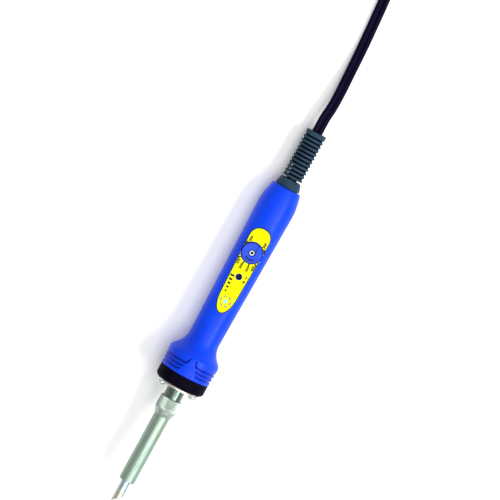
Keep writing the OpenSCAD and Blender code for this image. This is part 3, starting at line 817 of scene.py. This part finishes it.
def make_handle(material):
    """The hollow moulding, with its mesh finest on the pad's side, its ramps and its guard."""
    fine = radians(60)
    angles = between(-fine, fine, 150) + between(fine, tau - fine, 60)
    # Where each span of mesh rings starts, and how many it has.
    spans = ((0, 5), (0.8, 14), (BULGE_U, 8), (26, 25), (36, 20), (72, 32), (88, 8), (FLARE_U, 20),
             (115.5, 66), (HANDLE_L - 0.4, 4), (HANDLE_L, 1))
    rings = [u for (start, count), (end, _) in zip(spans, spans[1:]) for u in between(start, end, count)]
    rings.append(HANDLE_L)
    inside = [(HANDLE_L, 9.3), (108, 9.3), (FLARE_U, WAIST_R - WALL), (91.01, 8.0), (91, 8.0),
              (75, 8.3), (60, 8.6), (45, 8.9), (24.01, 9.25), (24, 9.25), (BULGE_U, BULGE_R - WALL),
              (7, 8.7), (3, 7.85), (3, 5.6), (0, 5.6)]
    points = [outer_point(u, a) for u in rings for a in angles]
    points += [inner_point(u, r, a) for u, r in inside for a in angles]
    made = raw_object("handle", (points, grid_faces(len(rings) + len(inside), len(angles))))
    recess = [(0, 5), (3, 5), (3, RECESS_FLOOR), (RECESS_R, RECESS_FLOOR), (RECESS_R, PAD_H + 0.02),
              (RECESS_R + 0.15, PAD_H + 0.4), (RECESS_R + 0.15, 15), (0, 15)]
    cut(made, upright(recess, DIAL_U, steps=96))
    cut(made, upright([(0, 5), (ADJUST_R, 5), (ADJUST_R, PAD_H - 0.3), (ADJUST_R + 0.3, PAD_H + 0.1),
                       (ADJUST_R + 0.3, 12), (0, 12)], ADJUST_U))
    cut(made, upright([(0, 5), (LENS_R + 0.05, 5), (LENS_R + 0.05, 12), (0, 12)], LENS_U))
    for angle in SCREW_ANGLES:
        cut(made, moved_out(turned([(119.4, 0), (119.4, 2.1), (129, 2.1), (129, 0)], 32), angle))
    piece(made, material, "handle", replaces=("handle_shell",), sharp=32)


def label_top(u):
    """The height of the label's face."""
    return pad_z(u) + LABEL_T + 0.03


def pad_half(u):
    """Half the pad's width, where it meets the round of the handle."""
    return sqrt(max(outline_radius(u) ** 2 - pad_z(u) ** 2, 0))


def label_edge(margin):
    """One side of the label, margin inside the pad's edge, from its tail end to its front end."""
    start, end, steps = LABEL_FROM - LABEL_MARGIN, LABEL_TO + LABEL_MARGIN, 140
    edge = [Vector((start + margin, 0))]
    for i in range(1, steps):
        u = start + (end - start) * (1 - cos(pi * i / steps)) / 2
        slope = (pad_half(u + 0.05) - pad_half(u - 0.05)) / 0.1
        at = Vector((u, pad_half(u))) + Vector((slope, -1)).normalized() * margin
        if at.y > 0:
            edge.append(at)
    return edge + [Vector((end - margin, 0))]


def layer_on_label(outline):
    """A closed (u, y) outline as a thin layer on the label, for its ink and for the painted shade along its
    edge.
    """
    points = [(u, y, label_top(u) + rise) for rise in (-0.02, LAYER_T) for u, y in outline]
    return closed_tube(points, len(outline))


def bar(centre, way, length, width):
    """A straight printed bar about centre. way is its angle from the iron's axis in degrees."""
    a = radians(way)
    on = Vector((cos(a), sin(a))) * length / 2
    aside = Vector((-sin(a), cos(a))) * width / 2
    corners = ((-1, -1), (1, -1), (1, 1), (-1, 1))
    return layer_on_label([tuple(Vector(centre) + on * i + aside * k) for i, k in corners])


def arc_band(centre, inner, outer, start, end):
    """A printed part of a ring, its angles in degrees from the iron's axis."""
    turns = [radians(start + (end - start) * i / 10) for i in range(11)]
    edges = [(outer, a) for a in turns] + [(inner, a) for a in reversed(turns)]
    return layer_on_label([(centre + r * cos(a), r * sin(a)) for r, a in edges])


def number_shape(text, u, y):
    """Printed digits that read towards the handle's tail."""
    curve = bpy.data.curves.new("digits", "FONT")
    curve.body = text
    curve.offset = 0.045
    curve.resolution_u = 3
    carrier = new_object("digits", curve)
    mesh = evaluated_mesh(carrier)
    xs, ys = [v.co.x for v in mesh.vertices], [v.co.y for v in mesh.vertices]
    points = []
    for v in mesh.vertices:
        across = (v.co.x - min(xs)) / (max(xs) - min(xs)) - 0.5
        rise = (v.co.y - min(ys)) / (max(ys) - min(ys)) - 0.5
        at = u - across * DIGITS_LONG
        points.append((at, y - rise * DIGITS_HIGH, label_top(at) + LAYER_T))
    faces = [tuple(p.vertices) for p in mesh.polygons]
    bpy.data.objects.remove(carrier)
    bpy.data.meshes.remove(mesh)
    return points, faces


def make_label_print(layer_material):
    """Dial numbers and their ticks, and two plain symbols beside the adjusting hole."""
    shapes = []
    middle = RECESS_R + 0.85
    # Each tick's angle round the dial from its tail side, its number, and how far off the number is.
    for angle, text, number_u, number_y in ((-57, "200", -7.4, -4.6), (57, "500", -7.4, 4.7),
                                            (-136, "250", 8.2, -4.95), (-166, "300", 9.9, -2.1),
                                            (166, "350", 9.9, 2.1), (136, "400", 8.2, 4.95)):
        a = radians(angle)
        if abs(angle) < 90:
            shapes.append(arc_band(DIAL_U, RECESS_R + 0.08, middle, 168 - angle, 192 - angle))
        else:
            shapes.append(bar((DIAL_U - middle * cos(a), middle * sin(a)), -angle, 1.6, 0.8))
        shapes.append(number_shape(text, DIAL_U + number_u, number_y))
    for k in range(5):
        high = 1.0 + 0.4 * k
        shapes.append(bar((71 - 2.5 * k, -2.6 - high / 2), 90, high, 1.2))
    shapes.append(bar((ADJUST_U - 1.5, 4.1), 0, 1.8, 0.55))
    shapes += [bar((ADJUST_U + 1.5, 4.1), way, 1.8, 0.55) for way in (0, 90)]
    shaped("label_print", together(shapes), layer_material, "label")


def make_lens_ring(layer_material):
    """A broken ring printed round the lens."""
    shapes = [arc_band(LENS_U, 2.85, 3.55, 60 * k + 10, 60 * k + 50) for k in range(6)]
    shaped("lens_ring", together(shapes), layer_material, "label")


def make_label_edge_shade(layer_material):
    """A thin dark line of painted shade that follows the label's edge, open where the dial crosses it."""
    outer, inner = label_edge(LABEL_MARGIN + 0.03), label_edge(LABEL_MARGIN + 0.53)
    shapes = []
    for side in (1, -1):
        for a, b in zip(outer, outer[1:]):
            if min((p - Vector((DIAL_U, 0))).length for p in (a, b)) < RECESS_R + 0.1:
                continue
            c, d = (min(inner, key=lambda p, of=of: (p - of).length) for of in (b, a))
            shapes.append(layer_on_label([(p.x, p.y * side) for p in (a, b, c, d)]))
    shaped("label_edge_shade", together(shapes), layer_material, "label")


def make_lens(material):
    """A domed lens over its flange."""
    top = PAD_H + LABEL_T + 0.25
    dome = [(LENS_R * cos(a), top - 0.25 + 0.45 * sin(a)) for a in between(0, pi / 2, 8)]
    outline = [(0, 5.9), (1.85, 5.9), (1.85, PAD_H - WALL), (LENS_R, PAD_H - WALL)] + dome + [(0, top + 0.2)]
    shaped("lens", upright(outline, LENS_U), material, "lens", replaces=("indicator_lens",))


def make_knob_screw(material):
    """The dial's screw: a flat head with a well and a cross recess in it."""
    top = SCREW_SEAT + 0.9
    outline = [(0, 6), (0.8, 6), (0.8, SCREW_SEAT), (1.65, SCREW_SEAT), (1.65, top - 0.12), (1.53, top),
               (0.75, top), (0.7, top - 0.4), (0, top - 0.5)]
    made = raw_object("dial_screw", upright(outline, DIAL_U))
    for u, y in (((-1.05, 1.05), (-0.25, 0.25)), ((-0.25, 0.25), (-1.05, 1.05))):
        cut(made, box([DIAL_U + edge for edge in u], y, (top - 0.45, top + 1)))
    piece(made, material, "screw_steel", body="dial", replaces=("knob_screw",))


# ---- The strain relief ----


def slot_radius(angle):
    """How far the edge of the flat cord's slot is from the axis at an angle round it."""
    half_t, reach = CORD_T / 2 + 0.06, (CORD_W - CORD_T) / 2
    side, up = abs(sin(angle)), abs(cos(angle))
    flat = half_t / up if up > 1e-6 else 1000
    if flat * side <= reach:
        return flat
    return reach * side + sqrt(max(half_t ** 2 - (reach * up) ** 2, 0))


def relief_ring(start, end, front_radius=RELIEF_R):
    """A ring with rounded rims round the flat cord."""
    rim = rounded([(start, 0, 0), (start, RELIEF_R, 0.4), (end, front_radius, 0.4), (end, 0, 0)])[1:-1]
    outline = [(start, None)] + rim + [(end, None)]
    points = [off_axis(u, r or slot_radius(a), a) for u, r in outline for a in full_turn(96)]
    return points, grid_faces(len(outline), 96)


def webs(start, end, above_and_below, one_stands_clear):
    """Blocks that join two rings: above and below the cord, or at its sides."""
    near = slot_radius(0 if above_and_below else pi / 2)
    far = RELIEF_R - 0.8
    shapes = []
    for sign in (-1, 1):
        clear = one_stands_clear and sign < 0
        out = sorted((sign * (4.7 if clear else near), sign * far))
        y, z = ((-1.3, 1.3), out) if above_and_below else (out, (-1.3, 1.3))
        shapes.append(box((start - 0.1, end + 0.1), y, z))
    return together(shapes)


def make_strain_relief(material):
    """The end ring, the rings and the webs that join them, the cone, and the neck inside the handle."""
    gap = RING_PITCH - RING_T
    start = RELIEF_FROM + END_RING_T
    shapes = [relief_ring(RELIEF_FROM, start)]
    for k in range(RING_COUNT + 1):
        shapes.append(webs(start, start + gap, k == RING_COUNT, RING_COUNT - 4 < k < RING_COUNT))
        start += gap
        if k < RING_COUNT:
            shapes.append(relief_ring(start, start + RING_T))
            start += RING_T
    shapes.append(relief_ring(start, -0.5, 8.15))
    neck = rounded([(-0.6, 3.6, 0), (-0.6, 7, 0.1), (0, 7, 0), (0, 5.4, 0), (3, 5.4, 0), (3, 6.4, 0.3),
                    (4.6, 5.6, 0.3), (4.6, 3.6, 0)])
    shaped("relief", together(shapes), material, "relief", replaces=("strain_relief",))
    shaped("relief_neck", turned(neck), material, "relief")


# ---- The front end ----


def make_collar(material):
    back = HANDLE_L + 0.02
    outline = rounded([(125.5, 7.6, 0), (125.5, 9.2, 0.2), (back, 9.2, 0), (back, COLLAR_R, 0.35),
                       (COLLAR_END, COLLAR_R, 2.5), (COLLAR_END, 7.6, 0), (133, 7.6, 0), (133, 5.6, 0),
                       (129, 5.6, 0), (129, 7.6, 0)], 10)
    shaped("collar_ring", turned(outline, 128), material, "collar", replaces=("collar",))


def make_front_plate(material):
    outline = rounded([(PLATE_FROM, 5.65, 0), (PLATE_FROM, 13.7, 0.25), (PLATE_TO, 13.7, 0.35),
                       (PLATE_TO, 5.65, 0)])
    shaped("plate", turned(outline, 128), material, "plate", replaces=("front_plate",))


def make_flange_screws(material):
    """Three pan-head screws with cross recesses."""
    dome = [(PLATE_TO + 0.55 + 1.2 * sin(a), 0.9 + 1.6 * cos(a))
            for a in between(0, pi / 2, 8)]
    outline = [(120.5, 0), (120.5, 1.5), (PLATE_TO, 1.5), (PLATE_TO, 2.45), (PLATE_TO + 0.1, 2.5)]
    outline += dome + [(PLATE_TO + 1.75, 0.9), (PLATE_TO + 1.75, 0)]
    heads = raw_object("screws", together([moved_out(turned(outline, 48), angle) for angle in SCREW_ANGLES]))
    narrow, wide = (-0.28, 0.28), (-1.25, 1.25)
    for y, z in ((narrow, wide), (wide, narrow)):
        bar_of_cross = box((PLATE_TO + 0.8, PLATE_TO + 7), y, z)
        cut(heads, together([moved_out(bar_of_cross, angle) for angle in SCREW_ANGLES]))
    piece(heads, material, "screw_steel", replaces=("flange_screws",))


def moved_out(shape, angle):
    """A shape on the iron's axis moved out to the screws' circle, at an angle from the dial's side."""
    turn = Matrix.Rotation(-radians(angle), 3, "X")
    return [turn @ (Vector(p) + Vector((0, 0, SCREW_CIRCLE_R))) for p in shape[0]], shape[1]


def make_nut(material):
    """The union nut: a band of fine straight knurls and a smooth cone."""
    knurls, steps = 60, 480
    knurl_to = NUT_FROM + 8
    outside = [(NUT_FROM, 6.35), (NUT_FROM + 0.3, 6.75)]
    outside += [(u, NUT_R) for u in between(NUT_FROM + 0.5, knurl_to, 8)]
    outside += [(knurl_to, NUT_R - 0.05), (knurl_to + 0.25, NUT_R - 0.35), (knurl_to + 0.5, NUT_R - 0.38)]
    outside += [(NUT_TO - 0.3, PIPE_R + 0.5), (NUT_TO, PIPE_R + 0.3)]
    outline = outside + [(NUT_TO, 5.15), (NECK_TO + 1.4, 5.15), (NECK_TO + 1.4, 5.95), (NUT_FROM, 5.95)]
    points = []
    for u, r in outline:
        on_knurl = blend_step(NUT_FROM, NUT_FROM + 0.5, u) * (1 - blend_step(knurl_to - 0.5, knurl_to, u))
        deep = 0.3 * on_knurl if r > 6.6 else 0
        for a in full_turn(steps):
            tooth = abs(cos(knurls * a / 2)) ** 1.5
            points.append(off_axis(u, r - deep * (1 - tooth), a))
    shaped("nut_knurled", (points, grid_faces(len(outline), steps)), material, "nut", body="nut",
           replaces=("union_nut",), sharp=50)


def make_pipe(material):
    """The barrel pipe, with its front edge turned in over the tip's shoulder."""
    outline = rounded([(NECK_TO, 4.54, 0), (NECK_TO, 5.6, 0.1), (NECK_TO + 1.2, 5.6, 0.1),
                       (NECK_TO + 1.2, 4.85, 0), (NUT_TO + 0.2, 4.85, 0), (NUT_TO + 0.2, PIPE_R, 0.1),
                       (PIPE_END, PIPE_R, 0.45), (PIPE_END, 3.35, 0.15), (PIPE_END - 0.9, 3.35, 0),
                       (PIPE_END - 0.9, 4.54, 0)], 6)
    shaped("pipe", turned(outline, 128), material, "pipe", body="barrel", replaces=("barrel_pipe",))


# ---- The parts that CAD made and Blender only finishes ----


def finish_cad_parts(named):
    """Gives each material to its nodes, whose meshes stay as CAD made them."""
    for material, names in named:
        for name in names:
            mesh = frame["nodes"][name].data
            mesh.materials.clear()
            mesh.materials.append(material)


# ---- The stage ----


def make_camera():
    """Looks down from a little towards the tail, rolled so that the tail points up and right."""
    target = iron(43, -1.7, 5)
    field, lens, sensor, roll = 0.3, 230, 36, radians(28.6)
    back = Vector((-tan(radians(7)), -tan(radians(2.5)), 1)).normalized()
    up = Vector((-cos(roll), -sin(roll), 0))
    right = up.cross(back).normalized()
    up = back.cross(right)
    data = bpy.data.cameras.new("camera")
    data.lens = lens
    data.sensor_width = sensor
    data.clip_end = 20
    camera = new_object("camera", data)
    camera.matrix_world = Matrix.Translation(target + back * field * lens / sensor) @ Matrix(
        (right, up, back)).transposed().to_4x4()
    bpy.context.scene.camera = camera


def make_light(name, place, size, power):
    """A soft box that faces the row's origin. place and size are in metres."""
    data = bpy.data.lights.new(name, "AREA")
    data.shape = "RECTANGLE"
    data.size, data.size_y = size
    data.energy = power
    light = new_object(name, data)
    light.location = place
    light.rotation_euler = (-Vector(place)).to_track_quat("-Z", "Y").to_euler()


def make_stage():
    """A pale bench, an even sky and two soft boxes."""
    material, tree = new_material("bench_top", Specular_IOR_Level=0.2)
    faint = noise(tree, 60, 2)
    dressed(material, Base_Color=shades(tree, faint, (0.95, 0.95, 0.95), (0.97, 0.97, 0.97)),
            Roughness=spread(tree, faint, 0.3, 0.7, 0.75, 0.85))
    corners = [(x * 3000, y * 3000, 0) for x, y in ((-1, -1), (1, -1), (1, 1), (-1, 1))]
    bench = raw_object("bench", (corners, [(0, 1, 2, 3)]), BENCH)
    bench.data.materials.append(material)
    world = bpy.data.worlds.new("studio")
    world.use_nodes = True
    background = world.node_tree.nodes["Background"]
    background.inputs["Color"].default_value = (0.99, 0.99, 1.0, 1)
    background.inputs["Strength"].default_value = 0.68
    bpy.context.scene.world = world
    bpy.context.scene.view_settings.view_transform = "Standard"
    make_light("key", (-0.05, 0.95, 1.1), (1.1, 0.4), 19)
    make_light("top", (0.05, 0.35, 1.75), (1.6, 0.8), 13)


# ---- Everything ----

make_camera()
cord_black = cord_material()
cord, route = make_cord(cord_black)
tie = make_tie(braid_material("tie_fabric", (0.01, 0.01, 0.012), (0.035, 0.035, 0.04), 0.6, 0.12))
plug = make_plug(plug_material())

make_handle(handle_material())
make_lens(lens_material())
make_knob_screw(knob_screw_material())
make_label_print(ink_and_shade_material("ink_black", (0.002, 0.002, 0.003), (0.012, 0.011, 0.008)))
make_lens_ring(ink_and_shade_material("ink_grey_green", (0.1, 0.2, 0.16), (0.2, 0.33, 0.24)))
# The navy line along the label's edge is painted shade.
make_label_edge_shade(ink_and_shade_material("label_edge_shade_navy", (0.002, 0.004, 0.045), (0.006, 0.012, 0.09)))
make_strain_relief(relief_material())
make_collar(collar_material())
make_front_plate(turned_metal("plate_steel", (0.4, 0.46, 0.43), (0.68, 0.74, 0.7), 0.32))
screw_steel = turned_metal("screw_steel", (0.42, 0.48, 0.45), (0.74, 0.8, 0.77), 0.24)
make_flange_screws(screw_steel)
make_nut(drawn_metal("nut_steel", (0.22, 0.28, 0.235), (0.49, 0.57, 0.51), 0.44))
make_pipe(drawn_metal("pipe_steel", (0.2, 0.28, 0.23), (0.32, 0.42, 0.35), 0.48, tint=(0.28, 0.33, 0.22)))

finish_cad_parts([
    (label_material(), ["dial_label"]),
    (dial_material(), ["dial_knob"]),
    (cord_black, ["cord_entry"]),
    (screw_steel, ["clamp_screws"]),
    (turned_metal("shaft_steel", (0.42, 0.42, 0.43), (0.62, 0.62, 0.63), 0.3), ["pot_shaft"]),
    (drawn_metal("neck_steel", (0.03, 0.045, 0.035), (0.18, 0.24, 0.2), 0.32), ["threaded_neck"]),
    (tip_material(), ["tip"]),
    (turned_metal("brass", (0.62, 0.42, 0.14), (0.85, 0.64, 0.28), 0.3),
     ["threaded_inserts", "terminal_screws"]),
    (moulded("rotor_navy", (0.003, 0.003, 0.05), (0.008, 0.006, 0.085), 0.45, grain=0.15, patch=1.5,
             Specular_IOR_Level=0.2), ["trimmer_rotor"]),
    (drawn_metal("tinned_lead", (0.6, 0.6, 0.6), (0.82, 0.82, 0.8), 0.3),
     ["lead_wires", "heater_leads"]),
    (moulded("chip_epoxy", (0.01, 0.01, 0.01), (0.022, 0.022, 0.022), 0.55, grain=0.15, depth=0.02,
             patch=3), ["control_ic", "triac"]),
    (ceramic_material(), ["terminal_block", "heater_flange", "heater_core"]),
    (mica_material(), ["heat_gasket"]),
    (board_material(), ["circuit_board"]),
    (banded_material(), ["resistors"]),
    (braid_material("sleeve_braid", (0.5, 0.48, 0.4), (0.85, 0.83, 0.76), 0.25, 0.05), ["lead_sleeves"]),
    (moulded("tray_grey", (0.5, 0.5, 0.47), (0.6, 0.6, 0.57), 0.5), ["board_carrier"]),
    (moulded("clamp_ivory", (0.62, 0.58, 0.45), (0.72, 0.68, 0.55), 0.5, patch=5), ["cord_clamp"]),
    (moulded("wire_brown", (0.16, 0.055, 0.015), (0.23, 0.085, 0.025), 0.45, patch=4), ["supply_wires"]),
    (moulded("pot_case", (0.05, 0.05, 0.055), (0.09, 0.09, 0.095), 0.5, patch=4), ["pot_body"]),
    (moulded("trimmer_blue", (0.01, 0.08, 0.34), (0.02, 0.12, 0.44), 0.4, patch=3), ["trimmer_body"]),
    (moulded("film_cap_red", (0.33, 0.01, 0.01), (0.45, 0.02, 0.015), 0.35, patch=4), ["film_capacitor"]),
    (moulded("can_cap_blue", (0.008, 0.012, 0.06), (0.015, 0.022, 0.1), 0.3, patch=3), ["filter_capacitor"]),
    (moulded("varistor_blue", (0.01, 0.12, 0.42), (0.02, 0.17, 0.55), 0.4, patch=2), ["surge_limiter"]),
    (moulded("lamp_clear", (0.45, 0.85, 0.7), (0.6, 0.95, 0.85), 0.15, patch=2, Transmission_Weight=0.5),
     ["led_lamp"]),
    (drawn_metal("blade_nickel", (0.62, 0.58, 0.45), (0.82, 0.78, 0.64), 0.28), ["plug_blades"]),
])

make_stage()
